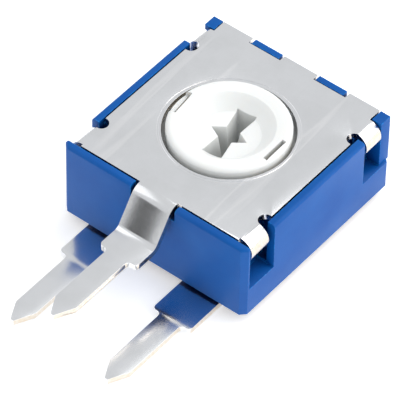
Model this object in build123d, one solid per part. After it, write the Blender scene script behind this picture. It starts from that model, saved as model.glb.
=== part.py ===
from build123d import *
import math
import os

# Trimmer potentiometer. Millimetres. The rotor turns about Z, +Z points out of the rotor's face,
# Z = 0 is the moulded housing's back, and the terminals point along -Y.

# Housing
body_width = 9.8
body_front = 5.1
body_rear = 4.95
corner_chamfer = 0.25
wall_height = 3.94
rim_round = 0.15
cavity_radius = 4.1
cavity_floor = 0.65
seat_depth = 0.29
seat_clearance = 0.08
strip_gate_width = 2.35
strip_gate_floor = 3.3
stub_inner = 1.0
stub_outer = 2.46
stub_length = 0.3
stub_rise = 0.02

# Ends and sides of the part, as directions along Y and X
FRONT, REAR = -1, 1
LEFT, RIGHT = -1, 1

# Pockets that take the folded tabs, as distances from the middle for the front and rear pairs
pocket_span = {FRONT: (3.12, 4.76), REAR: (3.0, 4.32)}
pocket_floor = 1.45
pocket_depth = 0.85
hook_ledge_height = 0.4
well_width = 0.5
well_depth = 2.1
post_inset = 0.14
post_thickness = 0.5

# Stop boss and rotor lug
boss_half_angle = 20.0
boss_radius = 3.65
travel = 240.0
stop_clearance = 0.3
lug_radius = 3.95

# Cover plate and its own terminal
sheet = 0.3
plate_side_margin = 0.46
plate_front = 4.68
plate_corner = 0.15
rotor_hole_radius = 2.88
coined_ring_radius = 3.02
coined_ring_width = 0.08
coined_ring_depth = 0.03
notch_inner = 0.9
notch_outer = 2.6
notch_depth = 0.33
relief_length = 0.66
relief_depth = 0.38
tab_span = {FRONT: (3.44, 4.56), REAR: (3.24, 4.24)}
tab_bend_radius = 0.64
tab_inset = 0.06
tab_wrap = 135.0
tab_tail = 0.3
strip_width = 2.0
strip_start_radius = 0.7
strip_end_radius = 0.4
strip_slope = 55.0
row_pitch = 2.5

# Terminals
pin_pitch = 5.08
tongue_width = 2.0
pin_width = 1.08
shoulder_at = 6.96
shoulder_round = 0.2
taper_start = 10.3
pin_tip = 11.2
tip_width = 0.16
wiper_pin_extra = 0.4
tongue_end = 1.9

# Laminate that carries the track
board_thickness = 0.8
board_proud = 0.15
board_side_margin = 0.6
board_front = 4.35
board_rear = 4.25
board_clearance = 0.05
track_inner = 2.15
track_outer = 3.2
track_thickness = 0.05
track_half_angle = 128.0
pad_width = 1.5
pad_overlap_angle = 9.0

# Rivets
rivet_at = 2.75
rivet_radius = 0.3
rivet_head_radius = 0.34
rivet_head_height = 0.2
rivet_foot_radius = 0.6
rivet_foot_height = 0.1

# Rotor
rest_turn = 6.0
pivot_radius = 1.0
pivot_clearance = 0.05
hub_radius = 1.85
hub_lift = 0.1
flange_radius = 3.2
flange_bottom = 2.9
flange_top = 3.42
neck_radius = 2.7
rim_shoulder = 4.1
rim_crest = 4.28
crest_radius = 2.4
dish_top_radius = 2.0
dish_floor_radius = 1.38
dish_floor = 3.66
drive_depth = 1.7
drive_length = 2.86
drive_end_width = 0.96
drive_waist_width = 0.68
drive_arm_span = 1.76
drive_arm_base = 0.68
drive_draft = 7.0
clip_slot_radius = 2.38
clip_slot_length = 1.36
clip_slot_width = 0.2
clip_slot_angles = {LEFT: 180.0, RIGHT: -5.0}
open_lip_height = 3.99

# Wiper spring
spring_sheet = 0.12
ring_inner = 1.95
ring_outer = 3.12
clip_sheet = 0.1
clip_width = 1.2
clip_top = 3.97
contact_gap = 0.02
tine_inner = 2.28
tine_width = 0.36
tine_gap = 0.14
tine_reach = 1.35
collector_radius = 3.4
collector_width = 0.9

post_outer = body_width / 2 - post_inset
post_inner = post_outer - post_thickness
plate_width = body_width - 2 * plate_side_margin
board_width = body_width - 2 * board_side_margin
seat = wall_height - seat_depth
plate_top = seat + sheet
board_bottom = -board_proud
board_top = board_bottom + board_thickness
terminal_top = board_bottom
terminal_bottom = terminal_top - sheet
wiper_terminal_top = terminal_top + row_pitch
tab_bend_start = body_width / 2 - tab_inset - tab_bend_radius
lug_half_angle = (360.0 - travel) / 2 - boss_half_angle - stop_clearance


def block(x0, x1, y0, y1, z0, z1):
    return Pos((x0 + x1) / 2, (y0 + y1) / 2, (z0 + z1) / 2) * Box(x1 - x0, y1 - y0, z1 - z0)


def disc(radius, z0, z1):
    return Pos(0, 0, (z0 + z1) / 2) * Cylinder(radius, z1 - z0)


def prism(outline, z0, z1):
    return extrude(Pos(0, 0, z0) * make_face(Polyline(*outline, close=True)), z1 - z0)


def on_circle(radius, angle):
    turn = math.radians(angle)
    return radius * math.cos(turn), radius * math.sin(turn)


def sector(inner, outer, middle, half_angle, z0, z1):
    """Part of a flat ring, half_angle degrees each side of the middle direction."""
    first, last = middle - half_angle, middle + half_angle
    outline = [
        Line(on_circle(inner, first), on_circle(outer, first)),
        ThreePointArc(on_circle(outer, first), on_circle(outer, middle), on_circle(outer, last)),
        Line(on_circle(outer, last), on_circle(inner, last)),
        ThreePointArc(on_circle(inner, last), on_circle(inner, middle), on_circle(inner, first)),
    ]
    return extrude(Pos(0, 0, z0) * make_face(outline), z1 - z0)


def bent_sheet(path, width, plane):
    """Bent strip of one width: its edge-on outline, drawn in the plane through its middle."""
    face = make_face(Polyline(*[plane.from_local_coords(Vector(a, b, 0)) for a, b in path], close=True))
    return extrude(face, width / 2, both=True)


def arc_points(centre, radius, first, last, steps):
    turns = [math.radians(first + (last - first) * i / steps) for i in range(steps + 1)]
    return [(centre[0] + radius * math.cos(t), centre[1] + radius * math.sin(t)) for t in turns]


# Housing ---------------------------------------------------------------------------------------

def housing():
    half = body_width / 2
    shell = block(-half, half, -body_front, body_rear, 0, wall_height)
    shell = chamfer(shell.edges().filter_by(Axis.Z), corner_chamfer)
    shell = fillet(shell.faces().sort_by(Axis.Z)[-1].edges(), rim_round)
    shell -= disc(cavity_radius, cavity_floor, wall_height)
    boss = sector(boss_radius, cavity_radius + 0.2, -90, boss_half_angle, cavity_floor, seat)
    shell += boss
    shell -= plate_seat()
    shell -= block(-strip_gate_width / 2, strip_gate_width / 2, -body_front, -cavity_radius,
                   strip_gate_floor, wall_height)
    for side in (LEFT, RIGHT):
        for end in (FRONT, REAR):
            shell -= tab_pocket(side, end)
            shell -= relief_well(side, end)
        shell = shell - rear_corner(side) + rear_post(side)
        shell += rear_stub(side)
    return shell - board_seat()


def plate_seat():
    half = plate_width / 2 + seat_clearance
    return block(-half, half, -plate_front - seat_clearance, body_rear, seat, wall_height)


def board_seat():
    half = board_width / 2 + board_clearance
    return block(-half, half, -board_front - board_clearance, board_rear + board_clearance, 0, board_top)


def tab_pocket(side, end):
    """Side pocket with a ledge near the top for the tab to hook under."""
    outer = side * body_width / 2
    y0, y1 = sorted(end * y for y in pocket_span[end])
    deep = sorted((outer, outer - side * pocket_depth))
    shallow = sorted((outer, side * tab_bend_start))
    lower = block(*deep, y0, y1, pocket_floor, seat - hook_ledge_height)
    return lower + block(*shallow, y0, y1, pocket_floor, wall_height)


def relief_well(side, end):
    """Dark well under the plate's relief cut, open into the pocket."""
    inner = plate_width / 2 - relief_depth
    x0, x1 = sorted((side * (inner - 0.05), side * (inner - 0.05 + well_width)))
    near, far = tab_span[end][0] - relief_length, pocket_span[end][0] + 0.1
    y0, y1 = sorted((end * near, end * far))
    return block(x0, x1, y0, y1, seat - well_depth, seat)


def rear_corner(side):
    x0, x1 = sorted((side * post_inner, side * body_width / 2))
    return block(x0, x1, pocket_span[REAR][1], body_rear, pocket_floor, wall_height)


def rear_post(side):
    """Square post in the rear corner, set in a little from the side wall."""
    x0, x1 = sorted((side * post_inner, side * post_outer))
    return block(x0, x1, pocket_span[REAR][1], body_rear, pocket_floor, wall_height)


def rear_stub(side):
    """Upright on the rear wall that locates the plate by its notch."""
    x0, x1 = sorted((side * stub_inner, side * stub_outer))
    return block(x0, x1, body_rear - stub_length, body_rear, seat - 0.2, plate_top + stub_rise)


# Cover plate and wiper terminal ----------------------------------------------------------------

def cover_plate():
    half = plate_width / 2
    plate = block(-half, half, -plate_front, body_rear, seat, plate_top)
    plate = fillet(plate.edges().filter_by(Axis.Z), plate_corner)
    plate -= disc(rotor_hole_radius, seat, plate_top)
    plate -= coined_ring()
    for side in (LEFT, RIGHT):
        x0, x1 = sorted((side * notch_inner, side * notch_outer))
        plate -= block(x0, x1, body_rear - notch_depth, body_rear, seat, plate_top)
        for end in (FRONT, REAR):
            plate -= tab_relief(side, end)
            plate -= tab_margin(side, end)
            plate += folded_tab(side, end)
    return plate + wiper_strip() + wiper_pin()


def coined_ring():
    """Shallow ring struck round the rotor's hole."""
    outer, inner = (coined_ring_radius + offset for offset in (coined_ring_width / 2, -coined_ring_width / 2))
    bottom = plate_top - coined_ring_depth
    return disc(outer, bottom, plate_top) - disc(inner, bottom, plate_top)


def tab_relief(side, end):
    """Rounded cut beside each tab that lets the tab fold cleanly."""
    middle = end * (tab_span[end][0] - relief_length / 2)
    radius = relief_length / 2
    edge = side * plate_width / 2
    inner = edge - side * (relief_depth - radius)
    relief = Pos(inner, middle, 0) * disc(radius, seat, plate_top)
    x0, x1 = sorted((inner, edge))
    return relief + block(x0, x1, middle - radius, middle + radius, seat, plate_top)


def tab_margin(side, end):
    """The plate ends where the tab's bend starts."""
    x0, x1 = sorted((side * tab_bend_start, side * plate_width / 2))
    y0, y1 = sorted((end * tab_span[end][0], end * (tab_span[end][1] + 1)))
    return block(x0, x1, y0, y1, seat, plate_top)


def folded_tab(side, end):
    """Tab bent down over the side wall and hooked back in under the ledge."""
    centre = (tab_bend_start, plate_top - tab_bend_radius)
    outer = arc_points(centre, tab_bend_radius, 90, 90 - tab_wrap, 14)
    inner = arc_points(centre, tab_bend_radius - sheet, 90 - tab_wrap, 90, 14)
    turn = math.radians(90 - tab_wrap)
    step = (math.sin(turn) * tab_tail, -math.cos(turn) * tab_tail)
    tail = [(outer[-1][0] + step[0], outer[-1][1] + step[1]), (inner[0][0] + step[0], inner[0][1] + step[1])]
    path = [(side * a, b) for a, b in outer + tail + inner]
    near, far = tab_span[end]
    plane = Plane(origin=(0, end * (near + far) / 2, 0), x_dir=(1, 0, 0), z_dir=(0, -1, 0))
    return bent_sheet(path, far - near, plane)


def strip_profile():
    """Upper face of the strip from the plate's front edge to the start of the flat pin, in y and z."""
    slope = math.radians(strip_slope)
    radii = strip_start_radius + strip_end_radius
    drop = plate_top - wiper_terminal_top
    straight = (drop - radii * (1 - math.cos(slope))) / math.sin(slope)
    run = radii * math.sin(slope) + straight * math.cos(slope)
    first = (-plate_front, plate_top - strip_start_radius)
    last = (-plate_front - run, wiper_terminal_top + strip_end_radius)
    return first, last


def wiper_strip():
    first, last = strip_profile()
    top = arc_points(first, strip_start_radius, 90, 90 + strip_slope, 12)
    top += arc_points(last, strip_end_radius, strip_slope - 90, -90, 10)
    under = arc_points(last, strip_end_radius + sheet, -90, strip_slope - 90, 10)
    under += arc_points(first, strip_start_radius - sheet, 90 + strip_slope, 90, 12)
    plane = Plane(origin=(0, 0, 0), x_dir=(0, 1, 0), z_dir=(1, 0, 0))
    return bent_sheet(top + under, strip_width, plane)


def pin_outline(shoulder, taper, tip):
    """Half outline of a terminal, widest at the tongue, in x and y, ending at the blunt tip."""
    return [(tongue_width / 2, -shoulder), (pin_width / 2, -shoulder), (pin_width / 2, -taper),
            (tip_width / 2, -tip)]


def terminal_blank(start, shoulder, taper, tip, z1):
    """Flat terminal from start to tip, with its shoulder corners rounded."""
    half = pin_outline(shoulder, taper, tip)
    outline = [(tongue_width / 2, -start)] + half + [(-x, y) for x, y in reversed(half)]
    outline.append((-tongue_width / 2, -start))
    blank = prism(outline, z1 - sheet, z1)
    corners = [e for e in blank.edges().filter_by(Axis.Z)
               if abs(e.center().Y + shoulder) < 0.05 and abs(e.center().X) < tongue_width / 2 + 0.01]
    return fillet(corners, shoulder_round)


def wiper_pin():
    _, last = strip_profile()
    return terminal_blank(-last[0], shoulder_at + wiper_pin_extra, taper_start + wiper_pin_extra,
                          pin_tip + wiper_pin_extra, wiper_terminal_top)


# Track board, terminals and rivets -------------------------------------------------------------

def track_board():
    board = block(-board_width / 2, board_width / 2, -board_front, board_rear, board_bottom, board_top)
    board -= disc(pivot_radius + pivot_clearance, board_bottom, board_top)
    for side in (LEFT, RIGHT):
        board -= Pos(side * pin_pitch / 2, -rivet_at, 0) * disc(rivet_radius, board_bottom, board_top)
    return board


def carbon_track():
    return sector(track_inner, track_outer, 90, track_half_angle, board_top, board_top + track_thickness)


def end_pad(side):
    """Conducting patch from the track's end to the rivet."""
    x = side * pin_pitch / 2
    pad = block(x - pad_width / 2, x + pad_width / 2, -rivet_at - pad_width / 4, -rivet_at + pad_width / 2,
                board_top, board_top + track_thickness)
    pad += sector(track_inner, track_outer, -90 + side * (180 - track_half_angle - pad_overlap_angle),
                  pad_overlap_angle, board_top, board_top + track_thickness)
    pad &= disc(cavity_radius - 0.03, board_top, board_top + track_thickness)
    return pad - Pos(x, -rivet_at, 0) * disc(rivet_radius, board_top, board_top + track_thickness)


def end_terminal(side):
    blank = terminal_blank(tongue_end, shoulder_at, taper_start, pin_tip, terminal_top)
    blank -= Pos(0, -rivet_at, 0) * disc(rivet_radius, terminal_bottom, terminal_top)
    return Pos(side * pin_pitch / 2, 0, 0) * blank


def rivet(side):
    top = board_top + track_thickness
    body = disc(rivet_radius, terminal_bottom, top)
    body += disc(rivet_head_radius, top, top + rivet_head_height)
    body += disc(rivet_foot_radius, terminal_bottom - rivet_foot_height, terminal_bottom)
    return Pos(side * pin_pitch / 2, -rivet_at, 0) * body


# Rotor and wiper spring ------------------------------------------------------------------------

def rotor():
    hub_bottom = board_top + hub_lift
    crest = (crest_radius + neck_radius) / 2 + 0.06, rim_crest - 0.05
    floor = (dish_floor_radius + dish_top_radius) / 2 - 0.04, (dish_floor + rim_crest) / 2 - 0.08
    outline = [
        Line((0, board_bottom), (pivot_radius, board_bottom)),
        Line((pivot_radius, board_bottom), (pivot_radius, hub_bottom)),
        Line((pivot_radius, hub_bottom), (hub_radius, hub_bottom)),
        Line((hub_radius, hub_bottom), (hub_radius, flange_bottom)),
        Line((hub_radius, flange_bottom), (flange_radius, flange_bottom)),
        Line((flange_radius, flange_bottom), (flange_radius, flange_top)),
        Line((flange_radius, flange_top), (neck_radius, flange_top)),
        Line((neck_radius, flange_top), (neck_radius, rim_shoulder)),
        ThreePointArc((neck_radius, rim_shoulder), crest, (crest_radius, rim_crest)),
        Line((crest_radius, rim_crest), (dish_top_radius, rim_crest - 0.05)),
        ThreePointArc((dish_top_radius, rim_crest - 0.05), floor, (dish_floor_radius, dish_floor)),
        Line((dish_floor_radius, dish_floor), (0, dish_floor)),
        Line((0, dish_floor), (0, board_bottom)),
    ]
    section = Plane.XZ * make_face(outline)
    body = revolve(section, Axis.Z, 360)
    body += sector(neck_radius, lug_radius, 90, lug_half_angle, flange_bottom, flange_top)
    body -= drive_recess()
    for side in (LEFT, RIGHT):
        body -= upright(side, clip_slot_width, clip_slot_length, flange_bottom, rim_crest + 0.2)
    body -= open_lip()
    return Rot(0, 0, rest_turn) * body


def drive_recess():
    """Slot that widens to its ends, with a pointed arm on each side."""
    end, waist = drive_length / 2, drive_waist_width / 2
    quarter = [(drive_end_width / 2, end), (waist, drive_arm_base / 2)]
    right = quarter + [(drive_arm_span / 2, 0)] + [(x, -y) for x, y in reversed(quarter)]
    outline = right + [(-x, y) for x, y in reversed(right)]
    mouth = make_face(Pos(0, 0, dish_floor) * Polyline(*outline, close=True))
    return extrude(mouth, -drive_depth, taper=drive_draft) + prism(outline, dish_floor, rim_crest)


def upright(side, width, length, z0, z1):
    """Thin upright slab on the circle of the clip slots."""
    x0, x1 = clip_slot_radius - width / 2, clip_slot_radius + width / 2
    return Rot(0, 0, clip_slot_angles[side]) * block(x0, x1, -length / 2, length / 2, z0, z1)


def open_lip():
    """The lip outside the left clip slot is cut low, so that the slot opens to the side."""
    lip = block(clip_slot_radius, neck_radius + 0.1, -clip_slot_length / 2, clip_slot_length / 2,
                open_lip_height, rim_crest + 0.2)
    return Rot(0, 0, clip_slot_angles[LEFT]) * lip


def wiper_spring():
    ring_top = flange_bottom
    spring = disc(ring_outer, ring_top - spring_sheet, ring_top)
    spring -= disc(ring_inner, ring_top - spring_sheet, ring_top)
    for side in (LEFT, RIGHT):
        spring += upright(side, clip_sheet, clip_width, ring_top - spring_sheet, clip_top)
        spring += collector_arm(side)
    for index in range(2):
        spring += tine(tine_inner + index * (tine_width + tine_gap))
    return Rot(0, 0, rest_turn) * spring


def collector_arm(side):
    """Arm from the ring out round the flange and up to just under the plate."""
    low, high = flange_bottom, seat - contact_gap
    inner, outer = collector_radius - spring_sheet, collector_radius
    path = [(ring_inner + 0.3, low), (inner, low), (inner, high - 0.1), (inner + 0.02, high),
            (outer, high - 0.04), (outer, low - spring_sheet), (ring_inner + 0.3, low - spring_sheet)]
    plane = Plane(origin=(0, 0, 0), x_dir=(1, 0, 0), z_dir=(0, -1, 0))
    return bent_sheet([(side * a, b) for a, b in path], collector_width, plane)


def tine(inner):
    """Finger from the ring's edge down to the track."""
    touch = board_top + track_thickness + contact_gap
    root = flange_bottom
    path = [(-tine_reach, root), (-tine_reach + 0.4, root), (0.12, touch + 0.2), (0.3, touch + 0.32),
            (0.34, touch + 0.2), (0.12, touch), (-0.02, touch), (-tine_reach + 0.33, root - spring_sheet),
            (-tine_reach, root - spring_sheet)]
    middle = inner + tine_width / 2
    plane = Plane(origin=(0, middle, 0), x_dir=(1, 0, 0), z_dir=(0, -1, 0))
    return bent_sheet(path, tine_width, plane)


nodes = {
    "housing": housing(),
    "cover_plate": cover_plate(),
    "track_board": track_board(),
    "carbon_track": carbon_track(),
    "left_track_pad": end_pad(LEFT),
    "right_track_pad": end_pad(RIGHT),
    "left_end_terminal": end_terminal(LEFT),
    "right_end_terminal": end_terminal(RIGHT),
    "left_rivet": rivet(LEFT),
    "right_rivet": rivet(RIGHT),
    "rotor": rotor(),
    "wiper_spring": wiper_spring(),
}

os.makedirs("parts", exist_ok=True)
for name, solid in nodes.items():
    export_step(solid, f"parts/{name}.step")
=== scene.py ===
import logging
import math
from dataclasses import dataclass, field
from enum import Enum
from typing import Iterable

import bpy
from mathutils import Matrix, Vector


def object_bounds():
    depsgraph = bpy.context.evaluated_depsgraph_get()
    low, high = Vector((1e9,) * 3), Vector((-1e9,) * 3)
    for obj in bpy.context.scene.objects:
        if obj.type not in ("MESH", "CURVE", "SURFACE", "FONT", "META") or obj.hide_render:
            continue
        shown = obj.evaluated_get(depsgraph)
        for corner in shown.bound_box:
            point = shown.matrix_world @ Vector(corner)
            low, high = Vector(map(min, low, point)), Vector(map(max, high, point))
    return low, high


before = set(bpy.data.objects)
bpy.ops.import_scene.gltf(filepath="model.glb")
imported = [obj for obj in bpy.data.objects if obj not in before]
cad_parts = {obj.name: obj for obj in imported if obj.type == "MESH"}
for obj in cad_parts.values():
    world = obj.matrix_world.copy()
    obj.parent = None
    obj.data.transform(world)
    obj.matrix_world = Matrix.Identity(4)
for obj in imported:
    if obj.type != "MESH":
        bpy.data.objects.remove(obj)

logging.basicConfig(level=logging.INFO, format="%(message)s")
log = logging.getLogger("trimmer")

CAD_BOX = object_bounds()
MM = 0.001
Colour = tuple[float, float, float]
ROUNDING_STEPS = 3
SHARPEST_SMOOTH_EDGE = 34.0
WELD_GAP = 0.0000005


class Body(Enum):
    """The rigid bodies that pieces ride on."""

    CASE = "case"
    ROTOR = "rotor"


class EdgeStyle(Enum):
    """How crisp the edges of a part came out of its tool, as a rounding in millimetres."""

    MOULDED = 0.06
    SHEARED = 0.035
    FINE = 0.02


# ---------------------------------------------------------------------------------------------
# Shader building blocks
# ---------------------------------------------------------------------------------------------

@dataclass
class NodeBench:
    """A small helper that adds and links nodes in one tree.

    Args:
        tree: the node tree that is being built.
    """

    tree: bpy.types.NodeTree

    def add(self, kind: str, **settings: object) -> bpy.types.Node:
        """Adds a node.

        Args:
            kind: the node's type name.
            settings: properties of the node, set by name.

        Returns:
            The new node.
        """
        node = self.tree.nodes.new(kind)
        for name, value in settings.items():
            setattr(node, name, value)
        return node

    def link(self, start: bpy.types.NodeSocket, end: bpy.types.NodeSocket) -> None:
        """Joins an output socket to an input socket."""
        self.tree.links.new(start, end)

    def math(self, operation: str, a: object, b: object = None,
             clamp: bool = False) -> bpy.types.NodeSocket:
        """Adds a Math node.

        Args:
            operation: the sum it does.
            a: first value, a number or a socket.
            b: second value, a number or a socket.
            clamp: whether the result stays between 0 and 1.

        Returns:
            The result's socket.
        """
        node = self.add("ShaderNodeMath", operation=operation, use_clamp=clamp)
        for socket, value in zip(node.inputs, (a, b)):
            if isinstance(value, bpy.types.NodeSocket):
                self.link(value, socket)
            elif value is not None:
                socket.default_value = value
        return node.outputs[0]

    def ramp(self, factor: bpy.types.NodeSocket,
             stops: Iterable[tuple[float, float]]) -> bpy.types.NodeSocket:
        """Adds a grey Color Ramp.

        Args:
            factor: the value that is looked up.
            stops: pairs of position and grey value.

        Returns:
            The ramp's colour socket.
        """
        node = self.add("ShaderNodeValToRGB")
        stops = list(stops)
        while len(node.color_ramp.elements) < len(stops):
            node.color_ramp.elements.new(0.5)
        for element, (place, grey) in zip(node.color_ramp.elements, stops):
            element.position = place
            element.color = (grey, grey, grey, 1.0)
        self.link(factor, node.inputs["Fac"])
        return node.outputs["Color"]

    def mix(self, factor: object, a: object, b: object, blend: str = "MIX") -> bpy.types.NodeSocket:
        """Mixes two colours.

        Args:
            factor: how much of the second colour, a number or a socket.
            a: first colour, a tuple or a socket.
            b: second colour, a tuple or a socket.
            blend: the mixing mode.

        Returns:
            The mixed colour's socket.
        """
        node = self.add("ShaderNodeMix", data_type="RGBA", blend_type=blend)
        node.clamp_factor = True
        for socket, value in ((node.inputs[0], factor), (node.inputs[6], a), (node.inputs[7], b)):
            if isinstance(value, bpy.types.NodeSocket):
                self.link(value, socket)
            elif isinstance(value, tuple):
                socket.default_value = (*value, 1.0)
            else:
                socket.default_value = value
        return node.outputs[2]


@dataclass
class EffectShelf:
    """The shader effects that several finishes share, each built once as a node group."""

    groups: dict[str, bpy.types.NodeTree] = field(default_factory=dict)

    def group(self, name: str, inputs: Iterable[tuple[str, str, float]],
              outputs: Iterable[tuple[str, str]]) -> tuple[NodeBench, bpy.types.Node, bpy.types.Node]:
        """Starts a node group with named sockets.

        Args:
            name: the effect's name.
            inputs: name, socket type and starting value of each input.
            outputs: name and socket type of each output.

        Returns:
            The bench of the group, its input node and its output node.
        """
        tree = bpy.data.node_groups.new(name, "ShaderNodeTree")
        for label, kind, value in inputs:
            socket = tree.interface.new_socket(name=label, in_out="INPUT", socket_type=kind)
            if kind == "NodeSocketFloat":
                socket.default_value = value
        for label, kind in outputs:
            tree.interface.new_socket(name=label, in_out="OUTPUT", socket_type=kind)
        bench = NodeBench(tree)
        self.groups[name] = tree
        return bench, bench.add("NodeGroupInput"), bench.add("NodeGroupOutput")

    def place(self, bench: NodeBench, name: str, **values: object) -> bpy.types.Node:
        """Puts an effect into a material.

        Args:
            bench: the material's bench.
            name: the effect's name.
            values: each input by name, with _ for a space.

        Returns:
            The group node.
        """
        node = bench.add("ShaderNodeGroup")
        node.node_tree = self.groups[name]
        for label, value in values.items():
            socket = node.inputs[label.replace("_", " ")]
            if isinstance(value, bpy.types.NodeSocket):
                bench.link(value, socket)
            else:
                socket.default_value = value
        return node

    def build(self) -> None:
        """Builds every shared effect."""
        self.build_edge_wear_and_highlight()
        self.build_mottle()
        self.build_scratches()
        self.build_painted_recess_shade()
        self.build_sheared()

    def build_painted_recess_shade(self) -> None:
        """A mask for painted shade, which rises in corners and deep pockets, where little light gets in.
        """
        bench, start, end = self.group(
            "painted_recess_shade", [("Reach", "NodeSocketFloat", 0.0012), ("Start", "NodeSocketFloat", 0.35),
                       ("Full", "NodeSocketFloat", 0.85)], [("Shade", "NodeSocketFloat")])
        openness = bench.add("ShaderNodeAmbientOcclusion", samples=8)
        bench.link(start.outputs["Reach"], openness.inputs["Distance"])
        shut = bench.math("SUBTRACT", 1.0, openness.outputs["AO"], clamp=True)
        depth = bench.add("ShaderNodeMapRange", interpolation_type="SMOOTHSTEP")
        bench.link(shut, depth.inputs["Value"])
        bench.link(start.outputs["Start"], depth.inputs["From Min"])
        bench.link(start.outputs["Full"], depth.inputs["From Max"])
        bench.link(depth.outputs["Result"], end.inputs["Shade"])

    def build_sheared(self) -> None:
        """A mask for the cut sides of sheet metal, which face along X, broken up by the shear's drag."""
        bench, start, end = self.group(
            "sheared", [("Drag", "NodeSocketFloat", 6000.0)], [("Cut", "NodeSocketFloat")])
        place = bench.add("ShaderNodeTexCoord")
        axes = bench.add("ShaderNodeSeparateXYZ")
        bench.link(place.outputs["Normal"], axes.inputs["Vector"])
        side = bench.ramp(bench.math("ABSOLUTE", axes.outputs["X"]), [(0.75, 0.0), (0.9, 1.0)])
        drag = bench.add("ShaderNodeTexNoise")
        bench.link(place.outputs["Object"], drag.inputs["Vector"])
        bench.link(start.outputs["Drag"], drag.inputs["Scale"])
        patchy = bench.ramp(drag.outputs["Fac"], [(0.3, 0.55), (0.65, 1.0)])
        bench.link(bench.math("MULTIPLY", side, patchy), end.inputs["Cut"])

    def build_edge_wear_and_highlight(self) -> None:
        """A mask that is bright along outer edges, and a copy broken up by fine noise; the finishes use
        them for rubbing wear and painted edge highlights.
        """
        bench, start, end = self.group(
            "edge_wear_and_highlight", [("Width", "NodeSocketFloat", 0.00008), ("Break Up", "NodeSocketFloat", 9000.0)],
            [("Edge", "NodeSocketFloat"), ("Worn_And_Lit", "NodeSocketFloat")])
        rounded = bench.add("ShaderNodeBevel", samples=6)
        bench.link(start.outputs["Width"], rounded.inputs["Radius"])
        surface = bench.add("ShaderNodeNewGeometry")
        dot = bench.add("ShaderNodeVectorMath", operation="DOT_PRODUCT")
        bench.link(rounded.outputs["Normal"], dot.inputs[0])
        bench.link(surface.outputs["Normal"], dot.inputs[1])
        bend = bench.math("SUBTRACT", 1.0, dot.outputs["Value"], clamp=True)
        edge = bench.ramp(bend, [(0.02, 0.0), (0.2, 1.0)])
        place = bench.add("ShaderNodeTexCoord")
        grain = bench.add("ShaderNodeTexNoise")
        grain.inputs["Detail"].default_value = 3.0
        bench.link(place.outputs["Object"], grain.inputs["Vector"])
        bench.link(start.outputs["Break Up"], grain.inputs["Scale"])
        speckle = bench.ramp(grain.outputs["Fac"], [(0.42, 0.0), (0.62, 1.0)])
        bench.link(edge, end.inputs["Edge"])
        bench.link(bench.math("MULTIPLY", edge, speckle), end.inputs["Worn_And_Lit"])

    def build_mottle(self) -> None:
        """Soft cloudy variation at two sizes, and a fine grain."""
        bench, start, end = self.group(
            "mottle", [("Cloud", "NodeSocketFloat", 500.0), ("Grain", "NodeSocketFloat", 9000.0)],
            [("Cloud", "NodeSocketFloat"), ("Grain", "NodeSocketFloat")])
        place = bench.add("ShaderNodeTexCoord")
        for label, detail in (("Cloud", 5.0), ("Grain", 2.0)):
            node = bench.add("ShaderNodeTexNoise")
            node.inputs["Detail"].default_value = detail
            bench.link(place.outputs["Object"], node.inputs["Vector"])
            bench.link(start.outputs[label], node.inputs["Scale"])
            bench.link(node.outputs["Fac"], end.inputs[label])

    def build_scratches(self) -> None:
        """Fine rolling lines along Y and scattered hairline scratches."""
        bench, start, end = self.group(
            "scratches", [("Rolling", "NodeSocketFloat", 9000.0), ("Hairline", "NodeSocketFloat", 1400.0)],
            [("Rolling", "NodeSocketFloat"), ("Hairline", "NodeSocketFloat")])
        place = bench.add("ShaderNodeTexCoord")
        stretch = bench.add("ShaderNodeMapping")
        stretch.inputs["Scale"].default_value = (1.0, 0.06, 1.0)
        bench.link(place.outputs["Object"], stretch.inputs["Vector"])
        rolling = bench.add("ShaderNodeTexNoise")
        rolling.inputs["Detail"].default_value = 3.0
        bench.link(stretch.outputs["Vector"], rolling.inputs["Vector"])
        bench.link(start.outputs["Rolling"], rolling.inputs["Scale"])
        bench.link(rolling.outputs["Fac"], end.inputs["Rolling"])
        turn = bench.add("ShaderNodeMapping")
        turn.inputs["Rotation"].default_value = (0.3, 0.2, 0.9)
        turn.inputs["Scale"].default_value = (1.0, 0.09, 1.0)
        bench.link(place.outputs["Object"], turn.inputs["Vector"])
        hair = bench.add("ShaderNodeTexNoise")
        hair.inputs["Detail"].default_value = 1.5
        bench.link(turn.outputs["Vector"], hair.inputs["Vector"])
        bench.link(start.outputs["Hairline"], hair.inputs["Scale"])
        bench.link(bench.ramp(hair.outputs["Fac"], [(0.60, 0.0), (0.66, 1.0), (0.72, 0.0)]),
                   end.inputs["Hairline"])


# ---------------------------------------------------------------------------------------------
# Finishes
# ---------------------------------------------------------------------------------------------

@dataclass(frozen=True)
class Finish:
    """A finish with a Principled shader.

    Args:
        name: the finish's name.
        slot: the record's material slot.
        roughness: middle roughness of the surface.
    """

    name: str
    slot: str
    roughness: float

    def start(self) -> tuple[bpy.types.Material, NodeBench, bpy.types.Node]:
        """Makes the empty material and its shader.

        Returns:
            The material, its bench and its Principled node.
        """
        material = bpy.data.materials.new(self.name)
        material.use_nodes = True
        bench = NodeBench(material.node_tree)
        shader = material.node_tree.nodes["Principled BSDF"]
        return material, bench, shader

    def bump(self, bench: NodeBench, shader: bpy.types.Node, height: bpy.types.NodeSocket,
             depth: float) -> None:
        """Feeds a height into the shader's normal.

        Args:
            bench: the material's bench.
            shader: the Principled node.
            height: the height's socket, from 0 to 1.
            depth: the height's size in metres.
        """
        node = bench.add("ShaderNodeBump")
        node.inputs["Strength"].default_value = 1.0
        node.inputs["Distance"].default_value = depth
        bench.link(height, node.inputs["Height"])
        bench.link(node.outputs["Normal"], shader.inputs["Normal"])

    def spread(self, bench: NodeBench, shader: bpy.types.Node, value: bpy.types.NodeSocket,
               low: float, high: float) -> None:
        """Feeds a roughness that runs from low to high as value runs from 0 to 1."""
        node = bench.add("ShaderNodeMapRange")
        node.inputs["To Min"].default_value = low
        node.inputs["To Max"].default_value = high
        bench.link(value, node.inputs["Value"])
        bench.link(node.outputs["Result"], shader.inputs["Roughness"])


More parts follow.
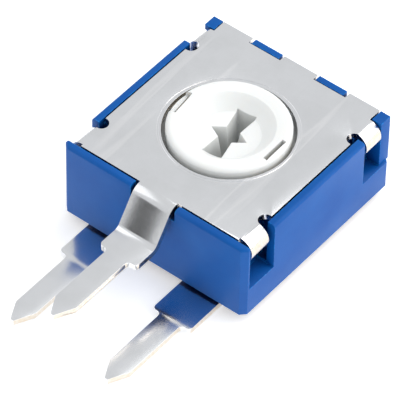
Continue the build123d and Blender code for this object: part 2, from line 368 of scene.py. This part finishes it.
@dataclass(frozen=True)
class MouldedPlastic(Finish):
    """Moulded thermoplastic with faint flow clouding, a fine mould texture, painted shade in its recesses
    and paler edges, which are rubbing wear and a painted highlight.

    Args:
        colour: main colour.
        deep: colour of the darker clouds.
        worn_and_lit: colour along the edges, for rubbing wear and a painted highlight.
        cloud: how much the clouds show.
        shade: colour of the painted shade in the recesses.
        shading: how much the painted shade in the recesses shows.
        shade_start: how shut in a spot is before painted shade starts there, from 0 to 1.
        grain_depth: depth of the mould texture in metres.
        specular: strength of the surface reflection.
        light_depth: how far light spreads inside, in metres, and 0 for none.
    """

    colour: Colour = (0.5, 0.5, 0.5)
    deep: Colour = (0.4, 0.4, 0.4)
    worn_and_lit: Colour = (0.7, 0.7, 0.7)
    cloud: float = 0.5
    shade: Colour = (0.3, 0.3, 0.3)
    shading: float = 0.5
    shade_start: float = 0.35
    grain_depth: float = 0.000002
    specular: float = 0.5
    light_depth: float = 0.0

    def make(self, effects: EffectShelf) -> bpy.types.Material:
        """Builds the material.

        Args:
            effects: the shared shader effects.

        Returns:
            The finished material.
        """
        material, bench, shader = self.start()
        mottle = effects.place(bench, "mottle", Cloud=450.0, Grain=14000.0)
        edges_worn_and_lit = effects.place(bench, "edge_wear_and_highlight", Width=0.00009, Break_Up=7000.0)
        patches = bench.ramp(mottle.outputs["Cloud"], [(0.35, 0.0), (0.7, 1.0)])
        clouds = bench.math("MULTIPLY", patches, self.cloud)
        body = bench.mix(clouds, self.colour, self.deep)
        # Painted shade: the colour runs towards the shade colour in corners and pockets, where little
        # light gets in.
        painted_recess_shade = effects.place(bench, "painted_recess_shade", Reach=0.0014, Start=self.shade_start, Full=0.85)
        shaded = bench.mix(bench.math("MULTIPLY", painted_recess_shade.outputs["Shade"], self.shading), body, self.shade)
        # The paler edge colour is rubbing wear, broken up by noise, and a painted highlight on the rounded
        # edges.
        bench.link(bench.mix(edges_worn_and_lit.outputs["Worn_And_Lit"], shaded, self.worn_and_lit), shader.inputs["Base Color"])
        self.spread(bench, shader, mottle.outputs["Cloud"], self.roughness - 0.06, self.roughness + 0.08)
        self.bump(bench, shader, mottle.outputs["Grain"], self.grain_depth)
        shader.inputs["Specular IOR Level"].default_value = self.specular
        if self.light_depth:
            shader.inputs["Subsurface Weight"].default_value = 0.35
            shader.inputs["Subsurface Radius"].default_value = (1.0, 0.9, 0.8)
            shader.inputs["Subsurface Scale"].default_value = self.light_depth
        return material


@dataclass(frozen=True)
class RolledMetal(Finish):
    """Plated sheet metal with rolling lines, hairline scratches and bright edges, which are rubbed plating
    and a painted highlight.

    Args:
        colour: main colour.
        dull: colour where the plating has dulled.
        bright: colour of the hairline scratches and of the edges, where it stands for rubbed plating and a
            painted highlight.
        dulling: how much of the dull colour shows.
        line_depth: depth of the rolling lines in metres.
        cut: colour of the sheared sides.
        cutting: how much the sheared colour shows.
    """

    colour: Colour = (0.8, 0.8, 0.8)
    dull: Colour = (0.6, 0.6, 0.6)
    bright: Colour = (0.95, 0.95, 0.95)
    dulling: float = 0.4
    line_depth: float = 0.000001
    cut: Colour = (0.62, 0.5, 0.36)
    cutting: float = 0.0

    def make(self, effects: EffectShelf) -> bpy.types.Material:
        """Builds the material.

        Args:
            effects: the shared shader effects.

        Returns:
            The finished material.
        """
        material, bench, shader = self.start()
        shader.inputs["Metallic"].default_value = 1.0
        mottle = effects.place(bench, "mottle", Cloud=900.0, Grain=12000.0)
        lines = effects.place(bench, "scratches", Rolling=9000.0, Hairline=1100.0)
        edges_worn_and_lit = effects.place(bench, "edge_wear_and_highlight", Width=0.00006, Break_Up=9000.0)
        patches = bench.ramp(mottle.outputs["Cloud"], [(0.38, 0.0), (0.68, 1.0)])
        clouds = bench.math("MULTIPLY", patches, self.dulling)
        body = bench.mix(clouds, self.colour, self.dull)
        scratched = bench.mix(bench.math("MULTIPLY", lines.outputs["Hairline"], 0.5), body, self.bright)
        sheared = effects.place(bench, "sheared", Drag=6000.0)
        cut = bench.mix(bench.math("MULTIPLY", sheared.outputs["Cut"], self.cutting), scratched, self.cut)
        # The bright colour along every edge is rubbed plating and a painted highlight.
        bench.link(bench.mix(edges_worn_and_lit.outputs["Edge"], cut, self.bright), shader.inputs["Base Color"])
        uneven = bench.math("ADD", bench.math("MULTIPLY", mottle.outputs["Cloud"], 0.6),
                            bench.math("MULTIPLY", lines.outputs["Rolling"], 0.4))
        self.spread(bench, shader, uneven, self.roughness - 0.08, self.roughness + 0.1)
        height = bench.math("ADD", bench.math("MULTIPLY", lines.outputs["Rolling"], 0.6),
                            bench.math("MULTIPLY", mottle.outputs["Grain"], 0.4))
        self.bump(bench, shader, height, self.line_depth)
        return material


@dataclass(frozen=True)
class PressedBoard(Finish):
    """Phenolic paper laminate with a fibrous, slightly streaked surface.

    Args:
        colour: main colour.
        fibre: colour of the fibres.
    """

    colour: Colour = (0.3, 0.16, 0.07)
    fibre: Colour = (0.45, 0.28, 0.13)

    def make(self, effects: EffectShelf) -> bpy.types.Material:
        """Builds the material from the shared effects and returns it."""
        material, bench, shader = self.start()
        mottle = effects.place(bench, "mottle", Cloud=700.0, Grain=16000.0)
        lines = effects.place(bench, "scratches", Rolling=5000.0, Hairline=2600.0)
        fibres = bench.ramp(lines.outputs["Rolling"], [(0.4, 0.0), (0.7, 1.0)])
        body = bench.mix(bench.math("MULTIPLY", fibres, 0.5), self.colour, self.fibre)
        cloudy = bench.mix(bench.math("MULTIPLY", mottle.outputs["Cloud"], 0.3), body, self.fibre)
        bench.link(cloudy, shader.inputs["Base Color"])
        self.spread(bench, shader, mottle.outputs["Grain"], self.roughness - 0.1, self.roughness + 0.15)
        self.bump(bench, shader, lines.outputs["Rolling"], 0.000003)
        return material


@dataclass(frozen=True)
class PrintedInk(Finish):
    """Screen-printed ink film, with a matt grain and faint print streaks.

    Args:
        colour: main colour.
        streak: colour of the print streaks.
        metallic: 1 for a conducting silver ink and 0 for carbon.
    """

    colour: Colour = (0.02, 0.02, 0.02)
    streak: Colour = (0.05, 0.05, 0.05)
    metallic: float = 0.0

    def make(self, effects: EffectShelf) -> bpy.types.Material:
        """Builds the material from the shared effects and returns it."""
        material, bench, shader = self.start()
        shader.inputs["Metallic"].default_value = self.metallic
        mottle = effects.place(bench, "mottle", Cloud=1500.0, Grain=20000.0)
        grain = bench.ramp(mottle.outputs["Grain"], [(0.4, 0.0), (0.65, 1.0)])
        bench.link(bench.mix(grain, self.colour, self.streak), shader.inputs["Base Color"])
        self.spread(bench, shader, mottle.outputs["Cloud"], self.roughness - 0.1, self.roughness + 0.1)
        self.bump(bench, shader, mottle.outputs["Grain"], 0.000003)
        return material


@dataclass
class PaintStore:
    """All the finishes of the trimmer, by material slot."""

    effects: EffectShelf = field(default_factory=EffectShelf)
    made: dict[str, bpy.types.Material] = field(default_factory=dict)

    def finishes(self) -> list[Finish]:
        """Lists the finishes of the trimmer."""
        return [
            # Blue housing: its shade colour is painted shade in the pockets, and its bright edge colour is
            # rubbing wear and a painted highlight.
            MouldedPlastic("blue_housing_plastic", "blue_moulding", 0.4, colour=(0.0, 0.094, 0.38),
                           deep=(0.0, 0.066, 0.31), worn_and_lit=(0.0, 0.24, 0.7), cloud=0.6,
                           shade=(0.0, 0.004, 0.05), shading=0.9, grain_depth=0.0000025, specular=0.2),
            # White rotor: its grey shade colour, which starts early, is painted shade in the dish and
            # recesses; its paler edges are rubbing wear and a faint painted highlight.
            MouldedPlastic("white_rotor_plastic", "white_moulding", 0.36, colour=(0.87, 0.88, 0.87),
                           deep=(0.83, 0.85, 0.84), worn_and_lit=(0.9, 0.9, 0.9), cloud=0.4,
                           shade=(0.48, 0.49, 0.48), shading=0.7, shade_start=0.04,
                           grain_depth=0.0000015, specular=0.5, light_depth=0.0002),
            # Metals: the bright colour marks hairline scratches and, along the edges, rubbed plating and a
            # painted highlight.
            RolledMetal("tinned_steel_sheet", "tinned_sheet", 0.2, colour=(0.82, 0.83, 0.85),
                        dull=(0.72, 0.73, 0.74), bright=(0.95, 0.95, 0.96), dulling=0.45,
                        line_depth=0.0000008,
                        cut=(0.7, 0.6, 0.46), cutting=0.85),
            RolledMetal("tinned_rivet_metal", "tinned_rivet", 0.32, colour=(0.76, 0.76, 0.75),
                        dull=(0.6, 0.6, 0.58), bright=(0.92, 0.92, 0.9), dulling=0.5,
                        line_depth=0.000001),
            RolledMetal("spring_bronze_sheet", "spring_bronze", 0.3, colour=(0.7, 0.52, 0.3),
                        dull=(0.5, 0.36, 0.2), bright=(0.9, 0.75, 0.5), dulling=0.5, line_depth=0.000001),
            PressedBoard("phenolic_board", "laminate", 0.5),
            PrintedInk("carbon_track_ink", "carbon_ink", 0.55),
            PrintedInk("silver_pad_ink", "silver_ink", 0.4, colour=(0.72, 0.72, 0.7),
                       streak=(0.55, 0.55, 0.52), metallic=1.0),
        ]

    def fill(self) -> None:
        """Builds the shared effects and then every finish."""
        self.effects.build()
        for finish in self.finishes():
            self.made[finish.slot] = finish.make(self.effects)
            log.info("finish %s", finish.name)

    def dress(self, piece: bpy.types.Object, slot: str) -> None:
        """Gives a piece the finish of one slot."""
        piece.data.materials.clear()
        piece.data.materials.append(self.made[slot])


# ---------------------------------------------------------------------------------------------
# Pieces
# ---------------------------------------------------------------------------------------------

@dataclass
class FramePiece:
    """A piece whose shape comes straight from the frame.

    Args:
        node: the frame node's name.
        slot: its material slot.
        edges: how its edges are rounded.
    """

    node: str
    slot: str
    edges: EdgeStyle

    def finish(self, store: PaintStore) -> bpy.types.Object:
        """Rounds the edges and dresses the piece.

        Args:
            store: the finishes.

        Returns:
            The frame's object.
        """
        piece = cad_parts[self.node]
        for polygon in piece.data.polygons:
            polygon.use_smooth = True
        weld = piece.modifiers.new("weld", "WELD")
        weld.merge_threshold = WELD_GAP
        bevel = piece.modifiers.new("rounded_edges", "BEVEL")
        bevel.width = self.edges.value * MM
        bevel.segments = ROUNDING_STEPS
        bevel.limit_method = "ANGLE"
        bevel.angle_limit = math.radians(SHARPEST_SMOOTH_EDGE)
        bevel.harden_normals = False
        bevel.use_clamp_overlap = True
        store.dress(piece, self.slot)
        log.info("dressed %s", self.node)
        return piece


@dataclass
class Housing:
    """The moulded housing and the track board that closes its back."""

    pieces: tuple[FramePiece, ...] = (
        FramePiece("housing", "blue_moulding", EdgeStyle.MOULDED),
        FramePiece("track_board", "laminate", EdgeStyle.FINE),
        FramePiece("carbon_track", "carbon_ink", EdgeStyle.FINE),
        FramePiece("left_track_pad", "silver_ink", EdgeStyle.FINE),
        FramePiece("right_track_pad", "silver_ink", EdgeStyle.FINE),
    )

    def build(self, store: PaintStore) -> None:
        """Dresses the housing and all that is fixed inside it."""
        for piece in self.pieces:
            piece.finish(store)


@dataclass
class Metalwork:
    """The cover plate with its own terminal, the two end terminals and their rivets."""

    pieces: tuple[FramePiece, ...] = (
        FramePiece("cover_plate", "tinned_sheet", EdgeStyle.SHEARED),
        FramePiece("left_end_terminal", "tinned_sheet", EdgeStyle.SHEARED),
        FramePiece("right_end_terminal", "tinned_sheet", EdgeStyle.SHEARED),
        FramePiece("left_rivet", "tinned_rivet", EdgeStyle.SHEARED),
        FramePiece("right_rivet", "tinned_rivet", EdgeStyle.SHEARED),
    )

    def build(self, store: PaintStore) -> None:
        """Dresses the plate, terminals and rivets."""
        for piece in self.pieces:
            piece.finish(store)


@dataclass
class Rotor:
    """The rotor and the wiper spring clipped under it."""

    pieces: tuple[FramePiece, ...] = (
        FramePiece("rotor", "white_moulding", EdgeStyle.MOULDED),
        FramePiece("wiper_spring", "spring_bronze", EdgeStyle.FINE),
    )

    def build(self, store: PaintStore) -> None:
        """Dresses the rotor and its spring."""
        for piece in self.pieces:
            piece.finish(store)


# ---------------------------------------------------------------------------------------------
# Studio
# ---------------------------------------------------------------------------------------------

def direction(azimuth: float, elevation: float) -> Vector:
    """Gives the way from the object to a place round it.

    Args:
        azimuth: 0 in front and 90 to the right, in degrees.
        elevation: height above level, in degrees.

    Returns:
        A vector of length 1.
    """
    a, e = math.radians(azimuth), math.radians(elevation)
    return Vector((math.sin(a) * math.cos(e), -math.cos(a) * math.cos(e), math.sin(e)))


@dataclass(frozen=True)
class Softbox:
    """A soft area light.

    Args:
        name: the light's name.
        azimuth: where it stands round the object, 0 in front and 90 to the right, in degrees.
        elevation: how high it stands, in degrees.
        distance: how far away it stands, in metres.
        size: its side, in metres.
        power: its power, in watts.
        colour: its colour.
    """

    name: str
    azimuth: float
    elevation: float
    distance: float
    size: float
    power: float
    colour: Colour = (1.0, 1.0, 1.0)

    def hang(self) -> None:
        """Makes the light, turned towards the object."""
        way = direction(self.azimuth, self.elevation)
        data = bpy.data.lights.new(self.name, "AREA")
        data.shape = "SQUARE"
        data.size = self.size
        data.energy = self.power
        data.color = self.colour
        light = bpy.data.objects.new(self.name, data)
        light.location = way * self.distance
        light.rotation_euler = way.to_track_quat("Z", "Y").to_euler()
        bpy.context.scene.collection.objects.link(light)


@dataclass
class Studio:
    """Pale floor, soft lights, a dark flag and the camera.

    Args:
        azimuth: the camera's place round the object, in degrees from the front towards the right.
        elevation: the camera's height, in degrees.
        roll: the camera's turn about its own axis, in degrees.
        distance: from the origin's plane to the camera, in metres.
        aim: how far right of and above the origin the camera's axis passes, in metres.
        depth_shift: how far behind the origin the camera's aim is measured from, in metres.
        lens: focal length, in millimetres.
        sensor: the camera's sensor width, in millimetres.
        floor_side: the floor's side, in metres.
        floor_glow: how much light the floor gives off, which keeps it pale.
        room_light: strength of the even light from all round.
        flag_place: azimuth and elevation of the dark flag, in degrees.
        flag_distance: how far away the flag stands, in metres.
        flag_side: the flag's side, in metres.
        softboxes: the area lights.
    """

    azimuth: float = 37.889
    elevation: float = 46.769
    roll: float = 1.167
    distance: float = 0.17671
    aim: tuple[float, float] = (-0.001235, -0.000304)
    depth_shift: float = 0.0001
    lens: float = 372.2
    sensor: float = 36.0
    floor_side: float = 0.6
    floor_glow: float = 0.35
    room_light: float = 0.76
    flag_place: tuple[float, float] = (-26.0, 15.0)
    flag_distance: float = 0.12
    flag_side: float = 0.04
    softboxes: tuple[Softbox, ...] = (
        Softbox("overhead_softbox", 150.0, 60.0, 0.35, 0.26, 0.42),
        Softbox("right_softbox", 115.0, 28.0, 0.35, 0.30, 0.42),
        Softbox("left_softbox", -75.0, 40.0, 0.40, 0.30, 0.16),
    )

    def build(self, lowest: float) -> None:
        """Sets the floor, lights, surroundings and camera.

        Args:
            lowest: the object's lowest height.
        """
        self.lay_floor(lowest)
        self.stand_flag()
        self.surround()
        for softbox in self.softboxes:
            softbox.hang()
        self.set_camera()

    def lay_floor(self, lowest: float) -> None:
        """Lays a plain pale floor under the object.

        Args:
            lowest: the object's lowest height.
        """
        bpy.ops.object.select_all(action="DESELECT")
        bpy.ops.mesh.primitive_plane_add(size=self.floor_side, location=(0, 0, lowest))
        floor = bpy.context.object
        floor.name = "floor"
        bpy.ops.object.transform_apply(location=True, rotation=True, scale=True)
        material = bpy.data.materials.new("pale_floor")
        material.use_nodes = True
        shader = material.node_tree.nodes["Principled BSDF"]
        shader.inputs["Base Color"].default_value = (0.98, 0.98, 0.98, 1.0)
        shader.inputs["Roughness"].default_value = 0.9
        shader.inputs["Specular IOR Level"].default_value = 0.1
        shader.inputs["Emission Color"].default_value = (1.0, 1.0, 1.0, 1.0)
        shader.inputs["Emission Strength"].default_value = self.floor_glow
        floor.data.materials.append(material)

    def stand_flag(self) -> None:
        """Stands a small dark card to the front left, which the sloping metal mirrors."""
        way = direction(*self.flag_place)
        bpy.ops.object.select_all(action="DESELECT")
        bpy.ops.mesh.primitive_plane_add(size=self.flag_side, location=way * self.flag_distance,
                                         rotation=way.to_track_quat("Z", "Y").to_euler())
        flag = bpy.context.object
        flag.name = "dark_flag"
        bpy.ops.object.transform_apply(location=True, rotation=True, scale=True)
        material = bpy.data.materials.new("dark_card")
        material.use_nodes = True
        shader = material.node_tree.nodes["Principled BSDF"]
        shader.inputs["Base Color"].default_value = (0.03, 0.03, 0.03, 1.0)
        shader.inputs["Roughness"].default_value = 0.9
        flag.data.materials.append(material)

    def surround(self) -> None:
        """Fills the room with even pale light."""
        world = bpy.data.worlds.new("pale_room")
        world.use_nodes = True
        backdrop = world.node_tree.nodes["Background"]
        backdrop.inputs["Color"].default_value = (0.98, 0.99, 1.0, 1.0)
        backdrop.inputs["Strength"].default_value = self.room_light
        bpy.context.scene.world = world

    def set_camera(self) -> None:
        """Places the camera."""
        a, r = math.radians(self.azimuth), math.radians(self.roll)
        back = direction(self.azimuth, self.elevation)
        level = Vector((math.cos(a), math.sin(a), 0.0))
        rise = back.cross(level)
        right = math.cos(r) * level + math.sin(r) * rise
        up = math.cos(r) * rise - math.sin(r) * level
        aim = right * self.aim[0] + up * self.aim[1] + Vector((0, self.depth_shift, 0))
        place = aim + back * self.distance
        data = bpy.data.cameras.new("camera")
        data.lens = self.lens
        data.sensor_width = self.sensor
        data.clip_start, data.clip_end = 0.01, 5.0
        camera = bpy.data.objects.new("camera", data)
        camera.matrix_world = Matrix.Translation(place) @ Matrix((right, up, back)).transposed().to_4x4()
        bpy.context.scene.collection.objects.link(camera)
        bpy.context.scene.camera = camera


def main() -> None:
    """Builds the trimmer and its studio."""
    bpy.ops.object.select_all(action="DESELECT")
    store = PaintStore()
    store.fill()
    for assembly in (Housing(), Metalwork(), Rotor()):
        assembly.build(store)
        log.info("built %s", type(assembly).__name__)
    Studio().build(CAD_BOX[0].z)
    bpy.context.scene.view_settings.view_transform = "Standard"


if __name__ == "__main__":
    main()
